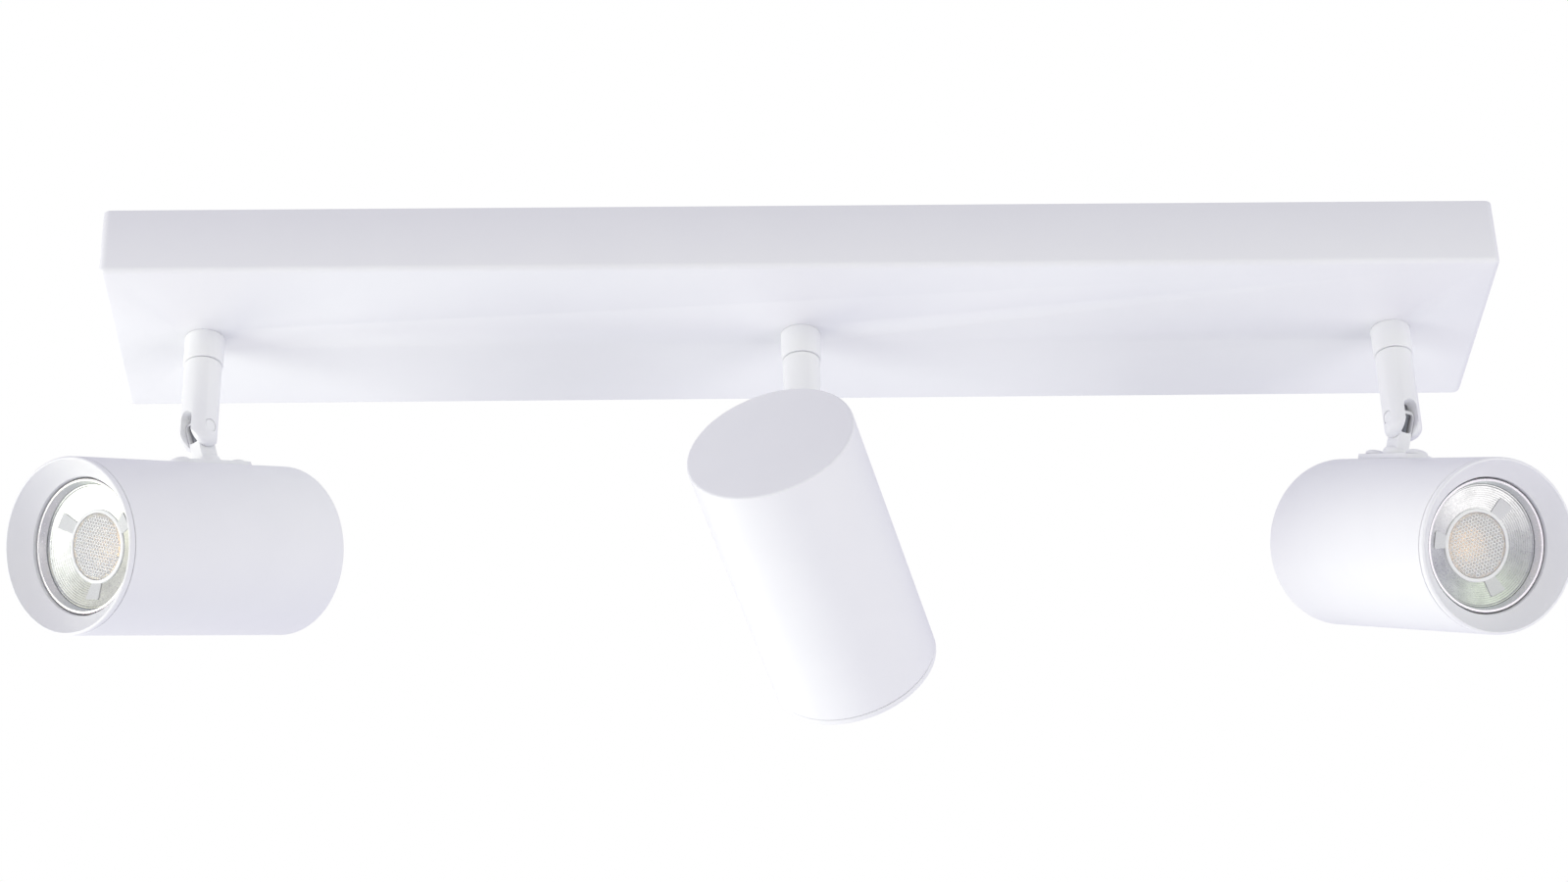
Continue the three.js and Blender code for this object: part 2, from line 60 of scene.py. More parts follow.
# ---- sizes ---------------------------------------------------------------------------------
# The CAD's driving dimensions. A few are drawn slightly otherwise here, to look as in the
# photograph: the slot's corner, the saddle's screw heads, the trim's hole and the lamp's inside.
BAR = dict(wall=1.2, fold=2.2, corner=3.0, rim=-GAP)
BRACKET = dict(length=300, width=60, thickness=1.5, corner=6, arm_x=130, arm_width=24, tab=14)
MOUNT_SLOTS = dict(length=20, width=5, places=(-95, -60, 75, 110))
CABLE_HOLE = dict(x=34, radius=8)
GROMMET = dict(bore=6, neck=7.7, flange=10, height=2)
COVER_SCREW = dict(head=3.5, drop=8, cover_hole=2.1, tapped_hole=2.0)
SCREW = dict(shank=1.7, length=7, pitch=0.7, depth=0.28)
TERMINAL = dict(pitch=10, tower=3.6, well=2.3, screw=2.0, bore=2.1, insert=1.75, wire_drop=10)
NUT = dict(across_flats=17, height=5, hole=6.1)
STEM = dict(radius=7.2, bore=2.7, collar_radius=7.7, collar_height=12, pivot=42.3)
NIPPLE = dict(radius=5.9, bore=4.8, top=8.5)
NECK = dict(radius=3.7, lip=4.5, top=-2.4, shoulder=-4)
SLOT = dict(width=5.8, top=5.8, corner=2.7)
EAR_FILLET = 3.4  # round the bottom of the fork's ears
TONGUE = dict(radius=4.2, thickness=5.2, window=4.2, top=2.5, bottom=-4.9)
FLANGE = dict(radius=5.4, top=4.7, height=2.4)
RIVET = dict(radius=1.5, head=2.5, seat=5.4, inner=2.2, outer=6.7)
SADDLE = dict(length=42, width=15, thickness=1.5, spacing=30, screw_head=4.2)
CAD_RADIUS = 32.65  # of the can's 36 flat sides, measured at their corners
CAN = dict(radius=CAD_RADIUS * math.cos(math.pi / 36), length=113, wall=1.5, rear=29.5, drop=48.2)
TRIM = dict(face=2.5, lip=1.1, hole=25.4, recess=8.7, sleeve=12)
LAMP = dict(radius=25, rim=22.7, rim_depth=3.3, cup=13.5, cup_depth=6.7, lens=12.3, well=6.4)
BULB = dict(length=27, flare=24, back=14.5, swell=9.9)
BASE_LENGTH = 22
SOCKET_LENGTH = 17
LED_RADIUS = 6.2
HONEYCOMB = dict(pitch=1.35, height=0.5, thickness=1.4)
CUP = dict(steps=11, flutes=72, flute_height=0.035)
RIM_COAT = dict(outer=24.85, top=24.5, inner=23.75, slope=23.62, foot=22.8, grooves=5)
LEG = dict(reach=5.6, height=0.9, inner=2.4, shoulder=3.2, tip=2.8)  # the last three half widths

MOUTH = CAN["length"] - CAN["rear"]
SEAM = MOUTH - TRIM["face"]
LAMP_FACE = MOUTH - TRIM["recess"]
STRIP_RADIUS = CAD_RADIUS + GAP + SADDLE["thickness"]
SADDLE_TOP = STRIP_RADIUS - CAN["drop"]
LEAD = dict(bar=1.5, head=1.8)

cover_low, cover_high = (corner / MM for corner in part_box("canopy_cover"))
LENGTH = cover_high.x - cover_low.x
WIDTH = cover_high.y - cover_low.y
UNDERSIDE = cover_low.z


def heads():
    """Each head's name, stem position, pan and tilt at rest, read from its joints."""
    joints = {joint["name"]: joint for joint in frame["record"]["behaviour"]["joints"]}
    for name in ("left", "centre", "right"):
        tilt = joints["tilt_" + name]
        across = Vector(tilt["axis"])
        yield dict(
            name=name,
            x=tilt["pos_m"][0] / MM,
            pan=math.atan2(-across.x, across.y),
            tilt=-math.radians(tilt["range_deg"][0]),
        )


HEADS = list(heads())


# ---- placing -------------------------------------------------------------------------------
def at_stem(head):
    return Matrix.Translation((head["x"], 0, UNDERSIDE))


def at_swivel(head):
    return at_stem(head) @ Matrix.Rotation(head["pan"], 4, "Z")


def at_pivot(head):
    drop = Matrix.Translation((0, 0, -STEM["pivot"]))
    return at_swivel(head) @ drop @ Matrix.Rotation(head["tilt"], 4, "Y")


def at_can(head):
    """The can's axis, with +Z out of its mouth and z = 0 under the pivot."""
    drop = Matrix.Translation((0, 0, -CAN["drop"]))
    return at_pivot(head) @ drop @ Matrix.Rotation(math.pi / 2, 4, "Y")


# ---- mesh helpers --------------------------------------------------------------------------
def add_piece(name, bm, place, material, smooth_angle=35):
    """Makes an object in metres from a bmesh in millimetres."""
    bmesh.ops.transform(bm, matrix=Matrix.Scale(MM, 4) @ place, verts=bm.verts)
    bmesh.ops.recalc_face_normals(bm, faces=bm.faces)
    mesh = bpy.data.meshes.new(name)
    bm.to_mesh(mesh)
    bm.free()
    piece = bpy.data.objects.new(name, mesh)
    bpy.context.scene.collection.objects.link(piece)
    mesh.materials.append(material)
    shade(mesh, smooth_angle)
    return piece


def shade(mesh, smooth_angle):
    mesh.shade_smooth()
    mesh.set_sharp_from_angle(angle=math.radians(smooth_angle))


def rounded(corners, steps=4):
    """Outline points from (radius, z, fillet) corners, each fillet drawn as an arc."""
    points = []
    for i, (r, z, fillet) in enumerate(corners):
        here = Vector((r, z))
        if not fillet:
            points.append(here)
            continue
        before = Vector(corners[i - 1][:2]) - here
        after = Vector(corners[(i + 1) % len(corners)][:2]) - here
        half = before.angle(after) / 2
        reach = fillet / math.tan(half)
        start = here + before.normalized() * reach
        end = here + after.normalized() * reach
        middle = (before.normalized() + after.normalized()).normalized()
        centre = here + middle * (fillet / math.sin(half))
        for k in range(steps + 1):
            toward = start.lerp(end, k / steps) - centre
            points.append(centre + toward.normalized() * fillet)
    return points


def lathe(outline, segments=96):
    """A turned piece about +Z from (radius, z) points that close on themselves or on the axis."""
    bm = bmesh.new()
    rings = []
    for point in outline:
        r, z = point[0], point[1]
        if r < 1e-6:
            rings.append([bm.verts.new((0, 0, z))])
            continue
        turns = (2 * math.pi * k / segments for k in range(segments))
        rings.append([bm.verts.new((r * math.cos(t), r * math.sin(t), z)) for t in turns])
    on_axis = len(rings[0]) == 1 and len(rings[-1]) == 1
    pairs = list(zip(rings, rings[1:])) + ([] if on_axis else [(rings[-1], rings[0])])
    for low, high in pairs:
        for k in range(segments):
            n = (k + 1) % segments
            ring = [low[k % len(low)], low[n % len(low)], high[n % len(high)], high[k % len(high)]]
            face = [v for i, v in enumerate(ring) if v not in ring[:i]]
            if len(face) > 2:
                bm.faces.new(face)
    return bm


def rounded_rectangle(size_x, size_y, radius, steps=6):
    points = []
    for quarter, (sx, sy) in enumerate(((1, 1), (-1, 1), (-1, -1), (1, -1))):
        centre = Vector((sx * (size_x / 2 - radius), sy * (size_y / 2 - radius)))
        for k in range(steps + 1):
            angle = math.pi / 2 * (quarter + k / steps)
            points.append(centre + radius * Vector((math.cos(angle), math.sin(angle))))
    return points


def stack(levels):
    """Skins a list of point loops, each (points, z), all with the same number of points."""
    bm = bmesh.new()
    rings = [[bm.verts.new((p.x, p.y, z)) for p in points] for points, z in levels]
    count = len(rings[0])
    for low, high in zip(rings, rings[1:]):
        for k in range(count):
            n = (k + 1) % count
            bm.faces.new((low[k], low[n], high[n], high[k]))
    bm.faces.new(list(reversed(rings[0])))
    bm.faces.new(rings[-1])
    return bm


def prism(points, bottom, top):
    return stack([(points, bottom), (points, top)])


def cylinder(radius, bottom, top, segments=48):
    return lathe([(0, bottom), (radius, bottom), (radius, top), (0, top)], segments)


def block(size, centre=(0, 0, 0)):
    bm = bmesh.new()
    bmesh.ops.create_cube(bm, size=1)
    bmesh.ops.scale(bm, vec=size, verts=bm.verts)
    bmesh.ops.translate(bm, vec=centre, verts=bm.verts)
    return bm


def turn(bm, angle, axis, move=(0, 0, 0)):
    matrix = Matrix.Translation(move) @ Matrix.Rotation(math.radians(angle), 4, axis)
    bmesh.ops.transform(bm, matrix=matrix, verts=bm.verts)
    return bm


def moved(bm, x, y=0):
    return turn(bm, 0, "Z", (x, y, 0))


def merge(*parts):
    """One bmesh holding the parts, which stay separate shells."""
    whole = bmesh.new()
    for part in parts:
        mesh = bpy.data.meshes.new("part")
        part.to_mesh(mesh)
        part.free()
        whole.from_mesh(mesh)
        bpy.data.meshes.remove(mesh)
    return whole


def apply_modifiers(piece):
    graph = bpy.context.evaluated_depsgraph_get()
    mesh = bpy.data.meshes.new_from_object(piece.evaluated_get(graph))
    old = piece.data
    piece.modifiers.clear()
    piece.data = mesh
    bpy.data.meshes.remove(old)


def combine(base, others, operation):
    """Boolean of bmeshes in millimetres, returned as a bmesh in millimetres."""
    scratch = bpy.data.materials.new("scratch")
    made = [add_piece("scratch", bm, Matrix(), scratch) for bm in (base, *others)]
    target = made[0]
    for other in made[1:]:
        modifier = target.modifiers.new("boolean", "BOOLEAN")
        modifier.operation = operation
        modifier.solver = "EXACT"
        modifier.object = other
    apply_modifiers(target)
    result = bmesh.new()
    result.from_mesh(target.data)
    bmesh.ops.scale(result, vec=(1 / MM,) * 3, verts=result.verts)
    bmesh.ops.remove_doubles(result, verts=result.verts, dist=0.01)
    for piece in made:
        mesh = piece.data
        bpy.data.objects.remove(piece)
        bpy.data.meshes.remove(mesh)
    bpy.data.materials.remove(scratch)
    return result


def carve(base, *cutters):
    return combine(base, cutters, "DIFFERENCE")


def soften(piece, width, segments=2, angle=40, smooth_angle=35):
    """Rounds a piece's sharp edges over, as the coating or the punch leaves them."""
    modifier = piece.modifiers.new("soften", "BEVEL")
    modifier.width = width * MM
    modifier.segments = segments
    modifier.limit_method = "ANGLE"
    modifier.angle_limit = math.radians(angle)
    modifier.use_clamp_overlap = True
    apply_modifiers(piece)
    close_gaps(piece.data)
    shade(piece.data, smooth_angle)
    return piece


def close_gaps(mesh):
    """Joins the points and fills the slits that a bevel leaves where thin faces meet."""
    bm = bmesh.new()
    bm.from_mesh(mesh)
    bmesh.ops.remove_doubles(bm, verts=bm.verts, dist=0.003 * MM)
    slits = [edge for edge in bm.edges if edge.is_boundary]
    bmesh.ops.holes_fill(bm, edges=slits, sides=8)
    bm.to_mesh(mesh)
    bm.free()


# ---- materials -----------------------------------------------------------------------------
def new_material(name):
    material = bpy.data.materials.new(name)
    material.use_nodes = True
    nodes = material.node_tree.nodes
    return material, nodes, material.node_tree.links, nodes["Principled BSDF"]


def noise(nodes, links, scale, detail, roughness=0.55):
    where = nodes.new("ShaderNodeTexCoord")
    texture = nodes.new("ShaderNodeTexNoise")
    texture.inputs["Scale"].default_value = scale
    texture.inputs["Detail"].default_value = detail
    texture.inputs["Roughness"].default_value = roughness
    links.new(where.outputs["Object"], texture.inputs["Vector"])
    return texture.outputs["Fac"]


def spread(nodes, links, source, low, high):
    """Maps a noise value to a range."""
    ramp = nodes.new("ShaderNodeMapRange")
    ramp.inputs["From Min"].default_value = 0.3
    ramp.inputs["From Max"].default_value = 0.7
    ramp.inputs["To Min"].default_value = low
    ramp.inputs["To Max"].default_value = high
    links.new(source, ramp.inputs["Value"])
    return ramp.outputs["Result"]


def tint(nodes, links, source, dark, light):
    mix = nodes.new("ShaderNodeMix")
    mix.data_type = "RGBA"
    mix.inputs[6].default_value = (*dark, 1)
    mix.inputs[7].default_value = (*light, 1)
    links.new(source, mix.inputs["Factor"])
    return mix.outputs[2]


def bump(nodes, links, shader, heights):
    """Chains bumps onto a shader from (height socket, strength, distance in mm)."""
    normal = None
    for height, strength, distance in heights:
        node = nodes.new("ShaderNodeBump")
        node.inputs["Strength"].default_value = strength
        node.inputs["Distance"].default_value = distance * MM
        links.new(height, node.inputs["Height"])
        if normal:
            links.new(normal, node.inputs["Normal"])
        normal = node.outputs["Normal"]
    links.new(normal, shader.inputs["Normal"])


def powder_coat():
    """Fine matt white powder coat: a slight mottle, orange peel and a fine grain."""
    material, nodes, links, shader = new_material("white_powder_coat")
    mottle = noise(nodes, links, 45, 3)
    peel = noise(nodes, links, 900, 2)
    grain = noise(nodes, links, 5200, 2, 0.7)
    colour = tint(nodes, links, mottle, (0.855, 0.862, 0.888), (0.885, 0.891, 0.912))
    links.new(colour, shader.inputs["Base Color"])
    links.new(spread(nodes, links, peel, 0.40, 0.50), shader.inputs["Roughness"])
    shader.inputs["Specular IOR Level"].default_value = 0.42
    bump(nodes, links, shader, [(peel, 0.10, 0.05), (grain, 0.16, 0.02)])
    return material


def plated_steel(name, colour, low, high, grain_scale):
    """Plated or brushed steel with a cloudy plating and fine scratches."""
    material, nodes, links, shader = new_material(name)
    cloud = noise(nodes, links, 60, 4)
    scratch = noise(nodes, links, grain_scale, 5, 0.75)
    dark = tuple(0.86 * c for c in colour)
    links.new(tint(nodes, links, cloud, dark, colour), shader.inputs["Base Color"])
    links.new(spread(nodes, links, scratch, low, high), shader.inputs["Roughness"])
    shader.inputs["Metallic"].default_value = 1.0
    bump(nodes, links, shader, [(scratch, 0.12, 0.02)])
    return material


def moulded(name, colour, rough, grain_scale=2600, grain=0.12, variation=0.05):
    """Moulded plastic, ceramic or rubber with a fine surface grain."""
    material, nodes, links, shader = new_material(name)
    cloud = noise(nodes, links, 120, 3)
    fine = noise(nodes, links, grain_scale, 3, 0.65)
    dark = tuple(c * (1 - variation) for c in colour)
    links.new(tint(nodes, links, cloud, dark, colour), shader.inputs["Base Color"])
    links.new(spread(nodes, links, fine, rough - 0.06, rough + 0.06), shader.inputs["Roughness"])
    bump(nodes, links, shader, [(fine, grain, 0.03)])
    return material


def clear(name, colour, rough, film, waviness=0.05, transmission=1.0):
    """Clear glass or plastic. film is a coat's thickness in nanometres, or 0 for none."""
    material, nodes, links, shader = new_material(name)
    wave = noise(nodes, links, 420, 2)
    fine = noise(nodes, links, 3000, 2)
    shader.inputs["Base Color"].default_value = (*colour, 1)
    links.new(spread(nodes, links, fine, rough * 0.6, rough * 1.4), shader.inputs["Roughness"])
    shader.inputs["IOR"].default_value = 1.5
    shader.inputs["Transmission Weight"].default_value = transmission
    if film:
        shader.inputs["Thin Film Thickness"].default_value = film
        shader.inputs["Thin Film IOR"].default_value = 1.7
    bump(nodes, links, shader, [(wave, waviness, 0.05)])
    return material


def mirror_coat():
    """The lamp's vacuum-metallised inside: silver with a soft haze."""
    material, nodes, links, shader = new_material("lamp_mirror")
    cloud = noise(nodes, links, 200, 4)
    fine = noise(nodes, links, 1400, 4, 0.7)
    colour = tint(nodes, links, cloud, (0.42, 0.43, 0.425), (0.70, 0.71, 0.705))
    links.new(colour, shader.inputs["Base Color"])
    links.new(spread(nodes, links, fine, 0.22, 0.42), shader.inputs["Roughness"])
    shader.inputs["Metallic"].default_value = 0.9
    bump(nodes, links, shader, [(fine, 0.25, 0.04)])
    return material


def rim_coat():
    """The metallised glass rim, silvery with a faint play of colour."""
    material, nodes, links, shader = new_material("lamp_rim_coat")
    fine = noise(nodes, links, 1400, 4, 0.7)
    colour = tint(nodes, links, fine, (0.74, 0.78, 0.80), (0.90, 0.92, 0.93))
    links.new(colour, shader.inputs["Base Color"])
    links.new(spread(nodes, links, fine, 0.14, 0.3), shader.inputs["Roughness"])
    shader.inputs["Metallic"].default_value = 0.35
    shader.inputs["Thin Film Thickness"].default_value = 480
    shader.inputs["Thin Film IOR"].default_value = 1.7
    bump(nodes, links, shader, [(fine, 0.1, 0.03)])
    return material


def phosphor_with_painted_glow():
    """The LED's yellow phosphor, speckled with its resin, with a painted glow in its own colour."""
    material, nodes, links, shader = new_material("led_phosphor_painted_glow")
    speck = noise(nodes, links, 1800, 5, 0.7)
    colour = tint(nodes, links, speck, (0.95, 0.50, 0.12), (1.0, 0.66, 0.22))
    links.new(colour, shader.inputs["Base Color"])
    links.new(spread(nodes, links, speck, 0.3, 0.5), shader.inputs["Roughness"])
    # painted glow: the phosphor emits its own yellow, so it shines brighter than the studio lamps
    # alone would light it
    links.new(colour, shader.inputs["Emission Color"])
    shader.inputs["Emission Strength"].default_value = 2.2
    bump(nodes, links, shader, [(speck, 0.2, 0.04)])
    return material


WHITE = powder_coat()
ZINC = plated_steel("zinc_sheet", (0.70, 0.72, 0.75), 0.30, 0.46, 900)
BRIGHT = plated_steel("bright_steel", (0.83, 0.84, 0.86), 0.16, 0.30, 1600)
BRASS = plated_steel("brass_insert", (0.83, 0.66, 0.34), 0.22, 0.36, 1200)
CERAMIC = moulded("steatite", (0.88, 0.86, 0.80), 0.7, grain=0.25)
NYLON = moulded("white_nylon", (0.86, 0.865, 0.88), 0.42)
RUBBER = moulded("black_rubber", (0.028, 0.028, 0.031), 0.72, grain=0.3, variation=0.2)
SLEEVE = moulded("lead_sleeve_grey", (0.17, 0.18, 0.21), 0.38, variation=0.12)
HOLDER = moulded("lens_holder_white", (0.90, 0.91, 0.92), 0.30, grain=0.05)
GLASS = clear("lamp_rim_glass", (0.94, 0.98, 0.99), 0.03, film=520)
LENS = clear("honeycomb_lens", (0.97, 0.98, 1.0), 0.09, film=0, waviness=0.02, transmission=0.6)
MIRROR = mirror_coat()
COATED = rim_coat()
SILVER = moulded("lens_leg_silver", (0.70, 0.71, 0.72), 0.26, grain=0.05)
PHOSPHOR_PAINTED_GLOW = phosphor_with_painted_glow()


# ---- the bar -------------------------------------------------------------------------------
def folded_levels(length, width, bottom, top, fold, corner, steps=6):
    """Loops of a tray side from its rim down and round the lower fold on to the floor."""
    levels = [(rounded_rectangle(length, width, corner), top)]
    for k in range(steps + 1):
        angle = math.pi / 2 * k / steps
        inset = fold * (1 - math.cos(angle))
        z = bottom + fold * (1 - math.sin(angle))
        radius = max(corner - inset, 0.5)
        points = rounded_rectangle(length - 2 * inset, width - 2 * inset, radius)
        levels.append((points, z))
    return levels


def cover():
    """The folded white box, open towards the ceiling."""
    wall, rim, fold, corner = BAR["wall"], BAR["rim"], BAR["fold"], BAR["corner"]
    outer = folded_levels(LENGTH, WIDTH, UNDERSIDE, rim, fold, corner)
    inner = folded_levels(
        LENGTH - 2 * wall, WIDTH - 2 * wall, UNDERSIDE + wall, rim, fold - wall, corner - wall
    )
    shell = stack(list(reversed(outer)) + inner)
    cutters = []
    for head in HEADS:
        hole = cylinder(NIPPLE["radius"] + GAP, UNDERSIDE - 3, UNDERSIDE + 5)
        cutters.append(moved(hole, head["x"]))
    for side in (-1, 1):
        centre = (side * BRACKET["arm_x"], WIDTH / 2, -COVER_SCREW["drop"])
        cutters.append(turn(cylinder(COVER_SCREW["cover_hole"], -5, 5, 24), 90, "X", centre))
    piece = add_piece("cover_shell", carve(shell, *cutters), Matrix(), WHITE, 30)
    soften(piece, 0.18, angle=60, smooth_angle=30)
    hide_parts("canopy_cover")
    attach(piece, "root")


def bracket():
    """The punched ceiling strip, its arms bent down inside the cover."""
    t, width, tab = BRACKET["thickness"], BRACKET["arm_width"], BRACKET["tab"]
    outer_y = WIDTH / 2 - BAR["wall"] - GAP
    strip = prism(rounded_rectangle(BRACKET["length"], BRACKET["width"], BRACKET["corner"]), -t, 0)
    arms = []
    for x in (-BRACKET["arm_x"], BRACKET["arm_x"]):
        arms.append(block((width, 2 * outer_y, t), (x, 0, -t / 2)))
        for side in (-1, 1):
            arms.append(block((width, t, tab), (x, side * (outer_y - t / 2), -tab / 2)))
    whole = combine(strip, arms, "UNION")
    cutters = []
    for x in MOUNT_SLOTS["places"]:
        end = MOUNT_SLOTS["width"] / 2 - 0.01
        slot = rounded_rectangle(MOUNT_SLOTS["length"], MOUNT_SLOTS["width"], end)
        cutters.append(moved(prism(slot, -5, 5), x))
    cutters.append(moved(cylinder(CABLE_HOLE["radius"], -5, 5), CABLE_HOLE["x"]))
    for side in (-1, 1):
        centre = (side * BRACKET["arm_x"], outer_y, -COVER_SCREW["drop"])
        cutters.append(turn(cylinder(COVER_SCREW["tapped_hole"], -5, 5, 24), 90, "X", centre))
    piece = add_piece("bracket_strip", carve(whole, *cutters), Matrix(), ZINC, 30)
    soften(piece, 0.3, angle=50)
    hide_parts("ceiling_bracket")
    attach(piece, "root")


def grommet():
    """The rubber ring in the strip's cable hole."""
    bore, neck, flange = GROMMET["bore"], GROMMET["neck"], GROMMET["flange"]
    under = -BRACKET["thickness"] - GAP
    bottom = under - GROMMET["height"]
    corners = [
        (bore, bottom, 0.8), (flange, bottom, 0.8), (flange, under, 0.4),
        (neck, under, 0.2), (neck, -GAP, 0.4), (bore, -GAP, 0.6),
    ]
    place = Matrix.Translation((CABLE_HOLE["x"], 0, 0))
    piece = add_piece("grommet_ring", lathe(rounded(corners), 64), place, RUBBER)
    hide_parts("cable_grommet")
    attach(piece, "root")


def cross_head_screw(radius, height=0.62):
    """A domed screw that points down -Z, its head on z = 0, with a cross recess and thread."""
    crown = radius * height
    shank, length, pitch = SCREW["shank"], SCREW["length"], SCREW["pitch"]
    root = shank - SCREW["depth"]
    angles = (math.radians(90 - 11.25 * k) for k in range(8))
    curve = [(radius * math.sin(a), crown * (0.28 + 0.72 * math.cos(a))) for a in angles]
    thread = []
    for k in range(int((length - 0.6) / pitch), 0, -1):
        thread += [(root, -k * pitch - pitch / 2), (shank, -k * pitch)]
    outline = [(0, -length), (shank - 0.5, -length), *thread, (root, 0)]
    outline += [(radius - 0.15, 0), (radius, 0.15), *curve, (0, crown)]
    recess_length, recess_width = 2 * (radius * 0.52), radius * 0.2
    middle = (0, 0, crown + 0.2)
    cutters = [
        block((recess_length, recess_width, 2.4), middle),
        block((recess_width, recess_length, 2.4), middle),
    ]
    return carve(lathe(outline, 48), *cutters)


def cover_screws():
    """The two screws in the cover's rear side."""
    for name, side in (("left", -1), ("right", 1)):
        seat = (side * BRACKET["arm_x"], WIDTH / 2 + GAP, -COVER_SCREW["drop"])
        place = Matrix.Translation(seat) @ Matrix.Rotation(-math.pi / 2, 4, "X")
        screw = cross_head_screw(COVER_SCREW["head"])
        piece = add_piece("cover_screw_cross_" + name, screw, place, BRIGHT, 30)
        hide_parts("cover_screw_" + name)
        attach(piece, "root")


def terminal_block():
    """Three nylon ways side by side, each with two screws in wells and a brass insert."""
    low, high = (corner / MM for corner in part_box("terminal_block"))
    size, centre = high - low, (low + high) / 2
    depth = size.z - 3
    base = block((size.x, size.y, depth), (centre.x, centre.y, high.z - depth / 2))
    bmesh.ops.bevel(base, geom=base.edges[:], offset=0.5, segments=3, profile=0.5, affect="EDGES")
    wire_z, inner, half = high.z - TERMINAL["wire_drop"], TERMINAL["insert"], size.y * 0.42
    towers, cutters, screws, inserts = [], [], [], []
    for way in (-1, 0, 1):
        x = centre.x + way * TERMINAL["pitch"]
        for end in (-1, 1):
            y = centre.y + end * size.y * 0.22
            towers.append(moved(cylinder(TERMINAL["tower"], low.z, high.z - 6, 40), x, y))
            well = cylinder(TERMINAL["well"], low.z - 1, low.z + 5, 32)
            cutters.append(turn(well, 3, "Z", (x, y, 0)))
            screws.append(turn(slotted_screw(TERMINAL["screw"]), 180, "X", (x, y, low.z + 4)))
        bore = cylinder(TERMINAL["bore"], -size.y, size.y, 32)
        cutters.append(turn(bore, 90, "X", (x, centre.y, wire_z)))
        tube = lathe([(inner, -half), (inner + 0.25, -half), (inner + 0.25, half), (inner, half)], 32)
        inserts.append(turn(tube, 90, "X", (x, centre.y, wire_z)))
    body = carve(combine(base, towers, "UNION"), *cutters)
    piece = add_piece("terminal_block_body", body, Matrix(), NYLON, 30)
    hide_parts("terminal_block")
    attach(piece, "root")
    metal = add_piece("terminal_screws", merge(*screws), Matrix(), BRIGHT)
    brass = add_piece("terminal_inserts", merge(*inserts), Matrix(), BRASS)
    for part in (metal, brass):
        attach(part, "root")


def slotted_screw(radius):
    head = lathe(rounded([(0, -1.5, 0), (radius, -1.5, 0.2), (radius, 0, 0.3), (0, 0, 0)]), 32)
    return carve(head, block((2.4 * radius, 0.5, 1.2), (0, 0, 0)))


def tube_through(points, radius):
    """A smooth tube through a list of points in mm, as a bmesh."""
    curve = bpy.data.curves.new("tube", "CURVE")
    curve.dimensions = "3D"
    curve.bevel_depth = radius
    curve.bevel_resolution = 5
    curve.resolution_u = 16
    curve.use_fill_caps = True
    spline = curve.splines.new("BEZIER")
    spline.bezier_points.add(len(points) - 1)
    for knot, point in zip(spline.bezier_points, points):
        knot.co = point
        knot.handle_left_type = knot.handle_right_type = "AUTO"
    carrier = bpy.data.objects.new("tube", curve)
    bpy.context.scene.collection.objects.link(carrier)
    graph = bpy.context.evaluated_depsgraph_get()
    mesh = bpy.data.meshes.new_from_object(carrier.evaluated_get(graph))
    bm = bmesh.new()
    bm.from_mesh(mesh)
    bpy.data.objects.remove(carrier)
    bpy.data.curves.remove(curve)
    bpy.data.meshes.remove(mesh)
    return bm


def bar_leads():
    """From the terminal block along the bar and down each stem."""
    low, high = (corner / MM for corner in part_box("terminal_block"))
    x, z, pitch = (low.x + high.x) / 2, high.z - TERMINAL["wire_drop"], TERMINAL["pitch"]
    front, rear = low.y - 0.5, high.y + 0.5
    starts = dict(
        left=[(x - pitch, front, z), (x - 17, front - 9, -13), (-120, -7, -15), (-214, 0, -13)],
        centre=[(x, front, z), (x + 7, front - 9, -13), (-35, -7, -15), (-14, 0, -13)],
        right=[
            (x + pitch, rear, z), (x + 17, rear + 8, -13), (20, 22, -15), (120, 8, -15), (214, 0, -13),
        ],
    )
    lowest = UNDERSIDE - STEM["pivot"] + SLOT["top"] + 2
    for head in HEADS:
        drop = [(head["x"], 0, -20), (head["x"], 0, -32), (head["x"], 0, lowest)]
        lead = tube_through(starts[head["name"]] + drop, LEAD["bar"])
        piece = add_piece("bar_lead_sleeve_" + head["name"], lead, Matrix(), SLEEVE, 60)
        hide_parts("bar_lead_" + head["name"])
        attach(piece, "root")


# ---- a stem --------------------------------------------------------------------------------
def collar(head):
    """The fixed collar, with the threaded nipple that passes through the bar's floor."""
    bottom, outer, face = -STEM["collar_height"], STEM["collar_radius"], -0.02
    inner, nipple = NECK["radius"] + GAP, NIPPLE["radius"]
    corners = [(inner, bottom, 0), (outer, bottom, 0.45), (outer, face, 0.12), (nipple, face, 0)]
    thread = []
    pitch = 0.9
    for k in range(8):
        z = BAR["wall"] + k * pitch
        thread += [(nipple, z), (nipple - 0.5, z + pitch / 2)]
    top, bore, shoulder = NIPPLE["top"], NIPPLE["bore"], NECK["shoulder"]
    rest = [(nipple - 0.3, top), (bore, top), (bore, shoulder), (inner, shoulder)]
    outline = [*rounded(corners, 5), *thread, *rest]
    piece = add_piece("collar_" + head["name"], lathe(outline, 96), at_stem(head), WHITE, 50)
    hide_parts("stem_collar_" + head["name"])
    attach(piece, "root")


def nut(head):
    """The hexagon nut on the nipple, its corners chamfered round."""
    radius = NUT["across_flats"] / math.sqrt(3)
    turns = (math.pi / 3 * k for k in range(6))
    hexagon = [Vector((radius * math.cos(t), radius * math.sin(t))) for t in turns]
    low = BAR["wall"] + GAP
    high = low + NUT["height"]
    barrel = rounded([(0, low, 0), (radius, low, 1.1), (radius, high, 1.1), (0, high, 0)], 3)
    body = combine(prism(hexagon, low, high), [lathe(barrel, 72)], "INTERSECT")
    body = carve(body, cylinder(NUT["hole"], low - 1, high + 1))
    piece = add_piece("nut_" + head["name"], body, at_stem(head), BRIGHT, 30)
    soften(piece, 0.15, angle=30, smooth_angle=30)
    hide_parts("stem_nut_" + head["name"])
    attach(piece, "root")


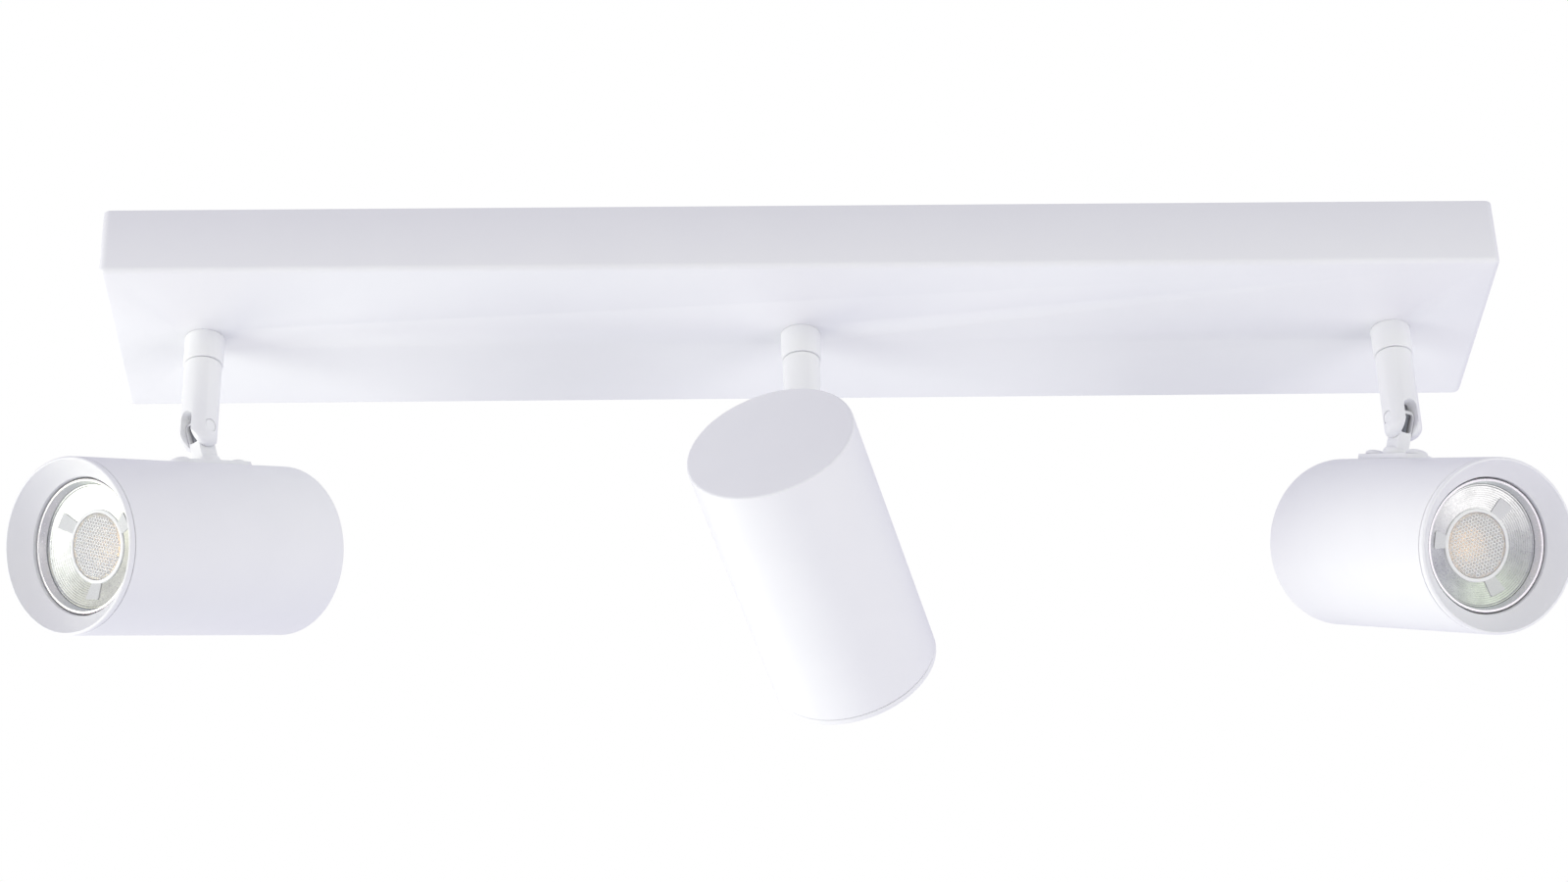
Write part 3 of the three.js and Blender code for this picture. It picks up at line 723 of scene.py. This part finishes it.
def swivel_stem(head):
    """The turned stem: a peened neck above and a fork with round ears below."""
    top, radius, bore = -STEM["collar_height"] - GAP, STEM["radius"], STEM["bore"]
    bottom = -STEM["pivot"] - radius
    neck, lip, lip_under, lip_top = NECK["radius"], NECK["lip"], NECK["shoulder"] + 0.4, NECK["top"]
    corners = [
        (bore, bottom, 0), (radius, bottom, EAR_FILLET), (radius, top, 0.4), (neck, top, 0),
        (neck, lip_under, 0), (lip, lip_under, 0.2), (lip, lip_top, 0.3), (bore, lip_top, 0.3),
    ]
    body = lathe(rounded(corners, 8), 96)
    above = block((30, 30, 60), (0, 0, -STEM["pivot"] + 30))
    round_end = turn(cylinder(radius + 0.1, -15, 15, 96), 90, "X", (0, 0, -STEM["pivot"]))
    body = combine(body, [combine(above, [round_end], "UNION")], "INTERSECT")
    height = SLOT["top"] + radius + 6
    opening = prism(rounded_rectangle(height, SLOT["width"], SLOT["corner"]), -10, 10)
    turn(opening, 90, "Y", (0, 0, -STEM["pivot"] + SLOT["top"] - height / 2))
    cutters = [opening]
    for side in (-1, 1):
        hole = cylinder(RIVET["radius"] + 0.15, 2, 12, 32)
        sink = cylinder(RIVET["head"] + 0.12, RIVET["seat"], 12, 48)
        for cutter in (hole, sink):
            cutters.append(turn(cutter, -90 * side, "X", (0, 0, -STEM["pivot"])))
    piece = add_piece("stem_fork_" + head["name"], carve(body, *cutters), at_swivel(head), WHITE, 35)
    soften(piece, 0.2, segments=2, angle=50)
    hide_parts("swivel_stem_" + head["name"])
    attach(piece, "swivel_" + head["name"])


def rivets(head):
    """The two short pivots, painted over with the stem."""
    radius, rim, seat = RIVET["radius"], RIVET["head"], RIVET["seat"]
    inner, outer = RIVET["inner"], RIVET["outer"]
    corners = [
        (0, inner, 0), (radius, inner, 0.2), (radius, seat, 0),
        (rim, seat, 0), (rim, outer, 0.35), (0, outer + 0.1, 0),
    ]
    for letter, side in (("a", 1), ("b", -1)):
        bm = turn(lathe(rounded(corners), 48), -90 * side, "X", (0, 0, -STEM["pivot"]))
        piece = add_piece(f"rivet_{letter}_{head['name']}", bm, at_swivel(head), WHITE)
        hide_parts(f"pivot_rivet_{letter}_{head['name']}")
        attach(piece, "swivel_" + head["name"])


# ---- a head --------------------------------------------------------------------------------
def ride_spot(piece, head, slot, *nodes):
    """Rides a piece on its head and hides the CAD nodes that it replaces. The slot argument is not
    used.
    """
    if nodes:
        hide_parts(*(node + "_" + head["name"] for node in nodes))
    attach(piece, "spot_" + head["name"])
    return piece


def along_can(radius):
    """A long rod on the can's axis, seen from the pivot."""
    return turn(cylinder(radius, -40, 40, 192), 90, "Y", (0, 0, -CAN["drop"]))


def knuckle(head):
    """The die-cast tongue, its neck and the thin curved saddle, with a casting's soft edges."""
    half, radius, blade_length = TONGUE["thickness"] / 2, TONGUE["radius"], 28
    blade = prism(rounded_rectangle(blade_length, 2 * radius, radius - 0.01, 16), -half, half)
    turn(blade, 90, "Z")
    turn(blade, 90, "X", (0, 0, radius - blade_length / 2))
    base = SADDLE_TOP - 1
    blade = carve(blade, block((30, 30, 20), (0, 0, base - 10)))
    top = SADDLE_TOP + FLANGE["height"]
    wide = FLANGE["radius"]
    foot = [(0, base), (wide, base), (wide, top - 1.4), (wide - 0.25, top - 0.7)]
    flare = lathe([*foot, (FLANGE["top"], top), (0, top)], 64)
    pad = rounded_rectangle(SADDLE["length"], SADDLE["width"], SADDLE["width"] / 2 - 0.01, 16)
    strip = combine(prism(pad, SADDLE_TOP - 5, SADDLE_TOP), [along_can(STRIP_RADIUS)], "INTERSECT")
    blank = combine(blade, [flare, strip], "UNION")
    window_height = TONGUE["top"] - TONGUE["bottom"]
    window = prism(rounded_rectangle(window_height, TONGUE["window"], 0.8), -10, 10)
    turn(window, 90, "Y", (0, 0, (TONGUE["top"] + TONGUE["bottom"]) / 2))
    wireway = cylinder(TONGUE["window"] / 2, -30, TONGUE["bottom"] + 1)
    pivot_hole = turn(cylinder(RIVET["radius"] + 0.15, -6, 6, 32), 90, "X")
    bm = carve(blank, along_can(CAN["radius"] + 0.03), window, wireway, pivot_hole)
    piece = add_piece("knuckle_" + head["name"], bm, at_pivot(head), WHITE, 35)
    soften(piece, 0.25, segments=3, angle=38)
    return ride_spot(piece, head, "white_coat", "tilt_knuckle")


def saddle_screws(head):
    for end, side in (("front", 1), ("rear", -1)):
        seat = (side * SADDLE["spacing"] / 2, 0, SADDLE_TOP + 0.05)
        place = at_pivot(head) @ Matrix.Translation(seat)
        screw = cross_head_screw(SADDLE["screw_head"], height=0.5)
        piece = add_piece(f"saddle_screw_dome_{end}_{head['name']}", screw, place, WHITE, 30)
        ride_spot(piece, head, "white_coat", "saddle_screw_" + end)


def housing(head):
    """The can, closed at the rear."""
    radius, inner = CAN["radius"], CAN["radius"] - CAN["wall"]
    rear, floor_z, front = -CAN["rear"], CAN["wall"] - CAN["rear"], SEAM - GAP
    corners = [
        (0, rear, 0), (radius, rear, 0.9), (radius, front, 0.25), (inner, front, 0.2),
        (inner, floor_z, 0.6), (0, floor_z, 0),
    ]
    bm = lathe(rounded(corners, 5), 192)
    piece = add_piece("can_" + head["name"], bm, at_can(head), WHITE)
    return ride_spot(piece, head, "white_coat", "lamp_housing")


def trim(head):
    """The front ring: a thin lip, a smooth baffle down to the lamp and a sleeve."""
    radius, lip, hole = CAN["radius"], CAN["radius"] - TRIM["lip"], TRIM["hole"]
    sleeve = radius - CAN["wall"] - GAP
    back = MOUTH - TRIM["recess"] + 1.2
    edge, mouth = MOUTH - 0.4, lip - 0.1
    depth = edge - back
    bowl = []
    for k in range(13):
        t = k / 12
        bowl.append((mouth - (mouth - hole) * t, edge - depth * (1.25 * t - 0.25 * t * t)))
    front = MOUTH - 0.1
    rim = [(sleeve, SEAM, 0), (radius - 0.1, SEAM, 0.2), (radius, front, 0.75), (lip, front, 0.3)]
    seat, inner, end = LAMP_FACE - 2.2, sleeve - 1.2, MOUTH - TRIM["sleeve"]
    rest = [(LAMP["radius"] + 0.12, seat), (hole + 1.2, seat), (inner, back + 2.0)]
    rest += [(inner, end), (sleeve, end)]
    bm = lathe([*rounded(rim, 5), *bowl, *rest], 192)
    piece = add_piece("trim_ring_" + head["name"], bm, at_can(head), WHITE, 40)
    return ride_spot(piece, head, "white_coat", "front_trim")


def lamp_glass(head):
    """The glass envelope, whose thick rim slopes in to the metallised cup."""
    face, outer = LAMP_FACE, LAMP["radius"]
    inner, foot = LAMP["rim"], face - LAMP["rim_depth"]
    back = face - BULB["length"]
    shares = (k / 12 for k in range(13))
    bulge = [(BULB["back"] + BULB["swell"] * math.sqrt(t), back + BULB["flare"] * t) for t in shares]
    rim = [
        (outer, face - 2.6, 0.8), (outer, face, 0.55), (outer - 1.2, face - 0.1, 0.5),
        (inner, foot, 0.3), (inner - 0.2, foot - 1, 0),
    ]
    inside = [(r - 1.4, z + 0.3) for r, z in reversed(bulge) if z < foot - 1.6]
    bm = lathe([*bulge, *rounded(rim, 5), *inside], 128)
    piece = add_piece("lamp_glass_" + head["name"], bm, at_can(head), GLASS)
    return ride_spot(piece, head, "lamp_glass", "lamp_envelope")


def lamp_cup(head):
    """The metallised cup between the rim and the centre lens, stepped in fine rings."""
    top, bottom = LAMP_FACE - LAMP["rim_depth"] + 0.05, LAMP_FACE - LAMP["cup_depth"]
    rim, lens, outer = LAMP["rim"], LAMP["lens"], LAMP["rim"] - 0.7
    outline = [(rim - 0.1, top), (rim - 0.5, top - 0.05)]
    for k in range(CUP["steps"] + 1):
        share = k / CUP["steps"]
        r = outer - (outer - LAMP["cup"]) * share
        z = top - 0.3 + (bottom - top + 0.3) * share
        outline += [(r, z), (r - 0.1, z - 0.17)]
    collar_wall = [(lens + 0.4, bottom - 0.9), (lens + 0.4, bottom - 1.6)]
    under = [(lens + 1.4, bottom - 1.6), (rim - 0.1, top - 1.0)]
    bm = lathe([*outline, *collar_wall, *under], 144)
    for v in bm.verts:
        r = math.hypot(v.co.x, v.co.y)
        if LAMP["cup"] < r < rim - 0.6 and v.co.z > bottom - 0.3:
            v.co.z += CUP["flute_height"] * math.cos(CUP["flutes"] * math.atan2(v.co.y, v.co.x))
    piece = add_piece("lamp_cup_" + head["name"], bm, at_can(head), MIRROR, 18)
    return ride_spot(piece, head, "lamp_glass")


def throat(head):
    """The white funnel that leads from the centre lens down to the LED."""
    top, foot = LAMP_FACE - LAMP["cup_depth"] - 1.4, LAMP_FACE - LAMP["cup_depth"] - LAMP["well"]
    wide, narrow = LAMP["lens"] - 0.1, LED_RADIUS + 0.2
    inner = [(wide, top), (wide - 1.3, top - 1.2), (narrow + 0.8, foot + 1.6), (narrow, foot - 0.3)]
    outer = [(narrow + 0.8, foot - 0.3), (narrow + 1.8, foot + 1.2), (wide, top - 0.9)]
    bm = lathe([*inner, *outer], 96)
    piece = add_piece("lamp_funnel_" + head["name"], bm, at_can(head), HOLDER, 50)
    return ride_spot(piece, head, "white_plastic")


def mirrored_rim(head):
    """The light ring that the glass rim's coat makes, in fine pressed grooves."""
    face, outer, depth = LAMP_FACE, RIM_COAT["outer"], LAMP["rim_depth"] + 0.1
    slope = []
    for k in range(RIM_COAT["grooves"]):
        share = k / RIM_COAT["grooves"]
        r, z = RIM_COAT["slope"] - share, face - 0.2 - (depth - 0.2) * share
        slope += [(r, z), (r - 0.04, z - 0.34)]
    top = [(outer, face - 0.75), (RIM_COAT["top"], face + 0.03), (RIM_COAT["inner"], face + 0.03)]
    outline = [(outer, face - 3.0), *top, *slope, (RIM_COAT["foot"], face - depth - 0.3)]
    piece = add_piece("lamp_rim_coat_" + head["name"], lathe(outline, 144), at_can(head), COATED, 40)
    return ride_spot(piece, head, "lamp_glass")


def led_dot(head):
    """The LED itself, a low phosphor dome at the foot of the funnel."""
    foot, radius = LAMP_FACE - LAMP["cup_depth"] - LAMP["well"], LED_RADIUS
    outline = rounded([(0, foot, 0), (radius, foot, 0), (radius, foot + 0.7, 0.3), (0, foot + 0.9, 0)])
    piece = add_piece("led_dot_" + head["name"], lathe(outline, 64), at_can(head), PHOSPHOR_PAINTED_GLOW)
    return ride_spot(piece, head, "phosphor", "led_board")


def honeycomb(head):
    """A clear plate with small domes packed six round one."""
    top = LAMP_FACE - LAMP["cup_depth"] + 0.25
    radius, pitch = LAMP["lens"] - 0.25, HONEYCOMB["pitch"]
    domes, rims = [cylinder(radius, top - HONEYCOMB["thickness"], top, 96)], []
    row_height, cell_radius = pitch * math.sqrt(3) / 2, pitch / math.sqrt(3)
    rows = int(radius / row_height) + 1
    for row in range(-rows, rows + 1):
        y = row * row_height
        shift = pitch / 2 if row % 2 else 0
        for column in range(-rows - 1, rows + 2):
            x = column * pitch + shift
            if math.hypot(x, y) < radius - pitch * 0.45:
                domes.append(dome(x, y, top, cell_radius, HONEYCOMB["height"]))
                rims.append(cell_rim(x, y, top, cell_radius))
    net = add_piece("honeycomb_net_" + head["name"], merge(*rims), at_can(head), HOLDER, 40)
    ride_spot(net, head, "white_plastic")
    piece = add_piece("honeycomb_" + head["name"], merge(*domes), at_can(head), LENS, 40)
    return ride_spot(piece, head, "lamp_glass", "lamp_lens")


def cell_corners(bm, x, y, z, radius):
    """The six corners of a honeycomb cell."""
    turns = (math.pi / 3 * k + math.pi / 6 for k in range(6))
    return [bm.verts.new((x + radius * math.cos(t), y + radius * math.sin(t), z)) for t in turns]


def cell_rim(x, y, base, radius):
    """The frosted ridge round one lens bump."""
    bm = bmesh.new()
    loops = []
    for share, z in ((1.0, base), (1.0, base + 0.16), (0.76, base + 0.24), (0.76, base)):
        loops.append(cell_corners(bm, x, y, z, radius * share))
    for low, high in zip(loops, loops[1:] + loops[:1]):
        for k in range(6):
            n = (k + 1) % 6
            bm.faces.new((low[k], low[n], high[n], high[k]))
    return bm


def dome(x, y, base, radius, height):
    """One six-sided lens bump."""
    bm = bmesh.new()
    tip = bm.verts.new((x, y, base + height))
    rings = []
    for share, lift in ((0.45, 0.86), (0.8, 0.45), (1.0, -0.05)):
        rings.append(cell_corners(bm, x, y, base + height * lift, radius * share))
    for k in range(6):
        n = (k + 1) % 6
        bm.faces.new((tip, rings[0][k], rings[0][n]))
        for inner, outer in zip(rings, rings[1:]):
            bm.faces.new((inner[k], outer[k], outer[n], inner[n]))
    bm.faces.new([rings[-1][k] for k in (5, 4, 3, 2, 1, 0)])
    return bm


LEG_TURN = dict(left=-20, centre=0, right=35)  # how each lamp stands in its socket, in degrees


def lens_leg(z, outer):
    """One leg of the lens holder, from the ring of that outer radius up the cup's slope."""
    slope = (LAMP["cup_depth"] - LAMP["rim_depth"]) / (LAMP["rim"] - LAMP["cup"])
    end = outer + LEG["reach"]
    leg = bmesh.new()
    tops, lows = [], []
    for r, half in ((outer - 0.3, LEG["inner"]), (end - 0.6, LEG["shoulder"]), (end, LEG["tip"])):
        height = z + (r - outer) * slope + 0.5
        low = height - LEG["height"]
        tops.append([leg.verts.new((r, s * half, height)) for s in (-1, 1)])
        lows.append([leg.verts.new((r, s * (half + 0.2), low)) for s in (-1, 1)])
    for level in (tops, lows):
        for a, b in zip(level, level[1:]):
            leg.faces.new((a[0], b[0], b[1], a[1]))
    for side in (0, 1):
        for i in range(2):
            leg.faces.new((tops[i][side], tops[i + 1][side], lows[i + 1][side], lows[i][side]))
    for i in (0, 2):
        leg.faces.new((tops[i][0], tops[i][1], lows[i][1], lows[i][0]))
    return leg


def lens_holder(head):
    """The white ring round the centre lens, with three short legs on the cup's slope."""
    z = LAMP_FACE - LAMP["cup_depth"]
    inner, outer = LAMP["lens"] - 0.15, LAMP["cup"] + 0.25
    corners = [
        (inner, z - 0.9, 0), (outer, z - 0.6, 0.2), (outer - 0.1, z + 0.45, 0.35),
        (inner + 0.1, z + 0.75, 0.3),
    ]
    ring = lathe(rounded(corners), 128)
    first = LEG_TURN[head["name"]]
    legs = [turn(lens_leg(z, outer), 120 * k + first, "Z") for k in range(3)]
    feet = add_piece("lens_legs_" + head["name"], merge(*legs), at_can(head), SILVER, 40)
    ride_spot(feet, head, "white_plastic")
    piece = add_piece("lens_holder_" + head["name"], ring, at_can(head), HOLDER, 40)
    return ride_spot(piece, head, "white_plastic")


def head_lead(head):
    """The grey sleeved lead that shows in the tongue's window and runs on to the socket."""
    axis_z = -CAN["drop"]
    back = LAMP_FACE - BULB["length"] - BASE_LENGTH - GAP - SOCKET_LENGTH
    points = [
        (0, 0, TONGUE["top"] - GAP), (0, 0, SADDLE_TOP), (0, 0, SADDLE_TOP - 6), (-3, 0, axis_z + 22),
        (-8, 0, axis_z + 10), (-6, 0, axis_z + 2), (back - 3, 0, axis_z), (back - GAP, 0, axis_z),
    ]
    bm = tube_through(points, LEAD["head"])
    piece = add_piece("lead_sleeve_" + head["name"], bm, at_pivot(head), SLEEVE, 60)
    return ride_spot(piece, head, "lead_sleeve", "head_lead")


def gland(head):
    """The flat grey gland round the lead, which fills the tongue's window."""
    half_x, half_y = TONGUE["radius"] - 0.9, TONGUE["window"] / 2 - 0.15
    turns = (2 * math.pi * k / 48 for k in range(48))
    oval = [Vector((half_x * math.cos(t), half_y * math.sin(t))) for t in turns]
    bm = prism(oval, TONGUE["bottom"] + 0.1, TONGUE["top"] - 0.1)
    piece = add_piece("lead_gland_" + head["name"], bm, at_pivot(head), SLEEVE, 50)
    soften(piece, 0.15, angle=50, smooth_angle=50)
    return ride_spot(piece, head, "lead_sleeve")


def hidden_inside(head):
    """The CAD shapes inside the can are right as they are; they get fuller materials."""
    inside = (("lamp_socket_", CERAMIC), ("socket_bracket_", ZINC), ("lamp_base_", NYLON))
    for prefix, material in inside:
        for material_slot in frame["nodes"][prefix + head["name"]].material_slots:
            material_slot.material = material


# ---- stage ---------------------------------------------------------------------------------
def floor():
    """A wide pale floor one room's height below the ceiling."""
    bm = bmesh.new()
    bmesh.ops.create_grid(bm, x_segments=8, y_segments=8, size=9000)
    place = Matrix.Translation((0, 0, -2400))
    material = moulded("pale_floor", (0.80, 0.80, 0.81), 0.75, grain_scale=30, grain=0.02)
    add_piece("floor", bm, place, material)


def soft_light(name, position, size, power, colour):
    """A square soft box aimed at the middle of the fixture."""
    data = bpy.data.lights.new(name, "AREA")
    data.shape = "SQUARE"
    data.size = size
    data.energy = power
    data.color = colour
    lamp = bpy.data.objects.new(name, data)
    bpy.context.scene.collection.objects.link(lamp)
    lamp.location = position
    aim = Vector((0, 0, -0.08)) - lamp.location
    lamp.rotation_euler = aim.to_track_quat("-Z", "Y").to_euler()


def world(light, backdrop):
    """An even studio surround; the camera itself sees a clean white backdrop."""
    sky = bpy.data.worlds.new("studio")
    bpy.context.scene.world = sky
    sky.use_nodes = True
    nodes, links = sky.node_tree.nodes, sky.node_tree.links
    surround = nodes["Background"]
    surround.inputs["Color"].default_value = (*light, 1)
    surround.inputs["Strength"].default_value = 1.0
    seen = nodes.new("ShaderNodeBackground")
    seen.inputs["Color"].default_value = (*backdrop, 1)
    mix, path = nodes.new("ShaderNodeMixShader"), nodes.new("ShaderNodeLightPath")
    links.new(path.outputs["Is Camera Ray"], mix.inputs["Fac"])
    links.new(surround.outputs["Background"], mix.inputs[1])
    links.new(seen.outputs["Background"], mix.inputs[2])
    links.new(mix.outputs["Shader"], nodes["World Output"].inputs["Surface"])


def camera(position, heading, pitch, roll, lens):
    """A camera below and in front of the bar, looking up at it, as in the photograph."""
    heading, pitch, roll = (math.radians(angle) for angle in (heading, pitch, roll))
    level = math.cos(pitch)
    forward = Vector((math.sin(heading) * level, math.cos(heading) * level, math.sin(pitch)))
    right = Vector((math.cos(heading), -math.sin(heading), 0))
    up = right.cross(forward)
    across = right * math.cos(roll) + up * math.sin(roll)
    above = up * math.cos(roll) - right * math.sin(roll)
    data = bpy.data.cameras.new("camera")
    data.sensor_width = 36
    data.lens = lens
    data.clip_start, data.clip_end = 0.05, 50
    eye = bpy.data.objects.new("camera", data)
    bpy.context.scene.collection.objects.link(eye)
    facing = Matrix((across, above, -forward)).transposed().to_4x4()
    eye.matrix_world = Matrix.Translation(position) @ facing
    bpy.context.scene.camera = eye


def lighting():
    """A bluish surround with slightly warm soft boxes, mostly below and to the left."""
    bpy.context.scene.view_settings.view_transform = "Standard"
    world(light=(0.564, 0.545, 0.68), backdrop=(1, 1, 1))
    soft_light("far_left_below", (-2.4, -0.4, -1.0), 1.6, 30, (0.965, 1.0, 0.93))
    soft_light("left_low", (-1.9, -0.1, -0.45), 1.2, 4.6, (1.0, 0.99, 0.5))
    soft_light("back_left", (-1.5, 1.2, -0.8), 1.2, 9.2, (1.0, 0.96, 0.76))
    soft_light("below_back", (0, 1.3, -1.3), 1.4, 5.4, (0.91, 1.0, 0.89))
    soft_light("front", (0, -2.2, -0.15), 1.6, 5.2, (1.0, 0.99, 0.42))
    soft_light("below_right", (1.5, -0.5, -1.3), 1.4, 11, (1.0, 0.97, 0.92))
    soft_light("right_front", (1.6, -1.6, -0.1), 1.2, 5.4, (0.85, 1.0, 0.61))


# ---- build ---------------------------------------------------------------------------------
cover()
bracket()
grommet()
cover_screws()
terminal_block()
bar_leads()
STEM_PARTS = (collar, nut, swivel_stem, rivets)
HEAD_PARTS = (knuckle, saddle_screws, housing, trim)
LAMP_PARTS = (lamp_glass, lamp_cup, throat, mirrored_rim, led_dot, honeycomb, lens_holder)
WIRING_PARTS = (head_lead, gland, hidden_inside)
for each_head in HEADS:
    for build in (*STEM_PARTS, *HEAD_PARTS, *LAMP_PARTS, *WIRING_PARTS):
        build(each_head)
floor()
camera((-0.0524, -1.1994, -0.8453), heading=2.135, pitch=32.587, roll=-1.675, lens=85.13)
lighting()
